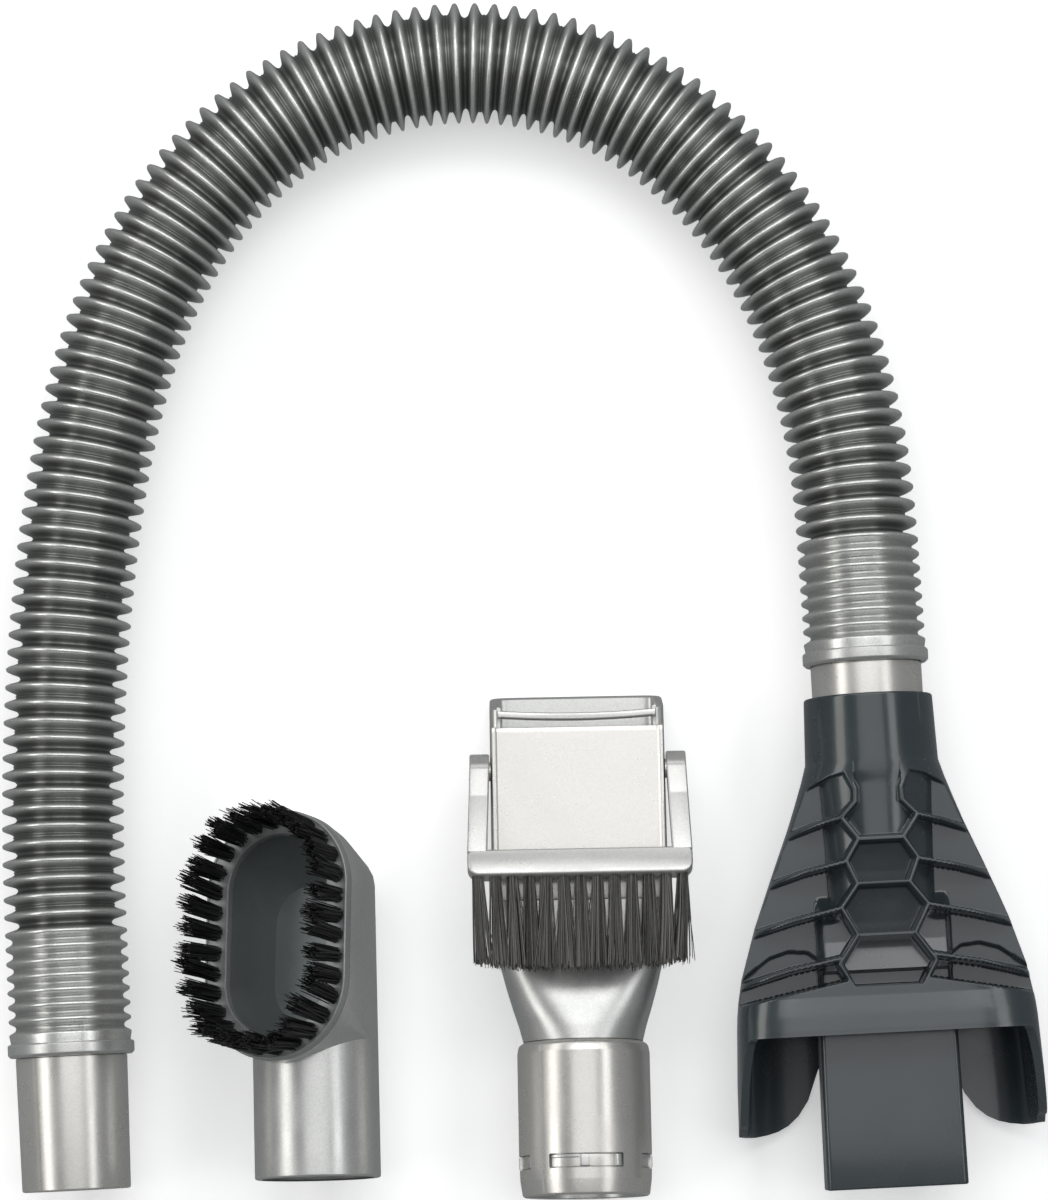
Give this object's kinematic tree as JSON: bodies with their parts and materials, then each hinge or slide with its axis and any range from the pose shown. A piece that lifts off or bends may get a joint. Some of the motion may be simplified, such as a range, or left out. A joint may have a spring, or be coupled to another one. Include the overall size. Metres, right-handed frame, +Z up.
{
  "type": "vacuum cleaner hose and tool kit",
  "caption": "Corrugated suction hose with a plain cuff and a hooded machine adapter, laid in an arch round an oval dusting brush and a combination nozzle with a flip-over brush.",
  "frame": {"origin": "on the table, under the middle of the box round the adapter and the two tools (the hose and its ends left out)", "axes": "+Z up from the table, +X to the right across the kit, +Y along the tools towards the top of the hose's arch"},
  "size_m": [0.3288, 0.3825, 0.0744],
  "materials": {
    "hose_grey": "metallic grey blow-moulded plastic, satin",
    "silver_plastic": "silver metal-flake plastic, satin",
    "pale_silver": "pale silver metal-flake plastic, glossy",
    "slate_plastic": "dark slate plastic, satin gloss",
    "bristle_grey": "nylon filaments",
    "bristle_black": "nylon filaments"
  },
  "bodies": {
    "hose_assembly": {"hose": "hose_grey", "tool_end_insert": "hose_grey", "tool_end_collar": "silver_plastic", "adapter_end_insert": "hose_grey", "adapter_end_collar": "silver_plastic"},
    "tool_cuff": {"tool_cuff": "pale_silver"},
    "spigot": {"adapter_spigot": "pale_silver"},
    "adapter": {"adapter_shell": "slate_plastic", "adapter_duct": "slate_plastic"},
    "nozzle": {"nozzle_body": "silver_plastic", "nozzle_front_plate": "pale_silver", "nozzle_lip_bar": "silver_plastic"},
    "flip_brush": {"flip_brush_frame": "silver_plastic", "flip_brush_tufts": "bristle_grey"},
    "nozzle_collar": {"swivel_collar": "pale_silver", "socket_insert": "silver_plastic"},
    "dusting_brush": {"dusting_brush_body": "silver_plastic", "bristle_ring": "silver_plastic", "dusting_tufts": "bristle_black"}
  },
  "joints": [
    {"name": "tool_cuff_swivel", "type": "hinge", "parent": "hose_assembly", "child": "tool_cuff", "pos_m": [-0.17015, -0.03093, 0.02], "axis": [0.0506, -0.9987, 0], "continuous": true},
    {"name": "spigot_swivel", "type": "hinge", "parent": "hose_assembly", "child": "spigot", "pos_m": [0.08105, 0.07767, 0.023], "axis": [0.0506, -0.9987, 0], "continuous": true},
    {"name": "adapter_pull_off", "type": "slide", "parent": "spigot", "child": "adapter", "axis": [0.0506, -0.9987, 0], "range_m": [0, 0.04]},
    {"name": "nozzle_lift", "type": "slide", "parent": "hose_assembly", "child": "nozzle", "axis": [0, 0, 1], "range_m": [0, 0.1]},
    {"name": "brush_flip", "type": "hinge", "parent": "nozzle", "child": "flip_brush", "pos_m": [-0.01072, 0.05466, 0.02344], "axis": [-0.9998, -0.0192, 0], "range_deg": [0, 160]},
    {"name": "nozzle_collar_swivel", "type": "hinge", "parent": "nozzle", "child": "nozzle_collar", "pos_m": [-0.00907, -0.03108, 0.02107], "axis": [0.0192, -0.9984, 0.0541], "continuous": true},
    {"name": "dusting_lift", "type": "slide", "parent": "hose_assembly", "child": "dusting_brush", "axis": [0, 0, 1], "range_m": [0, 0.1]}
  ]
}
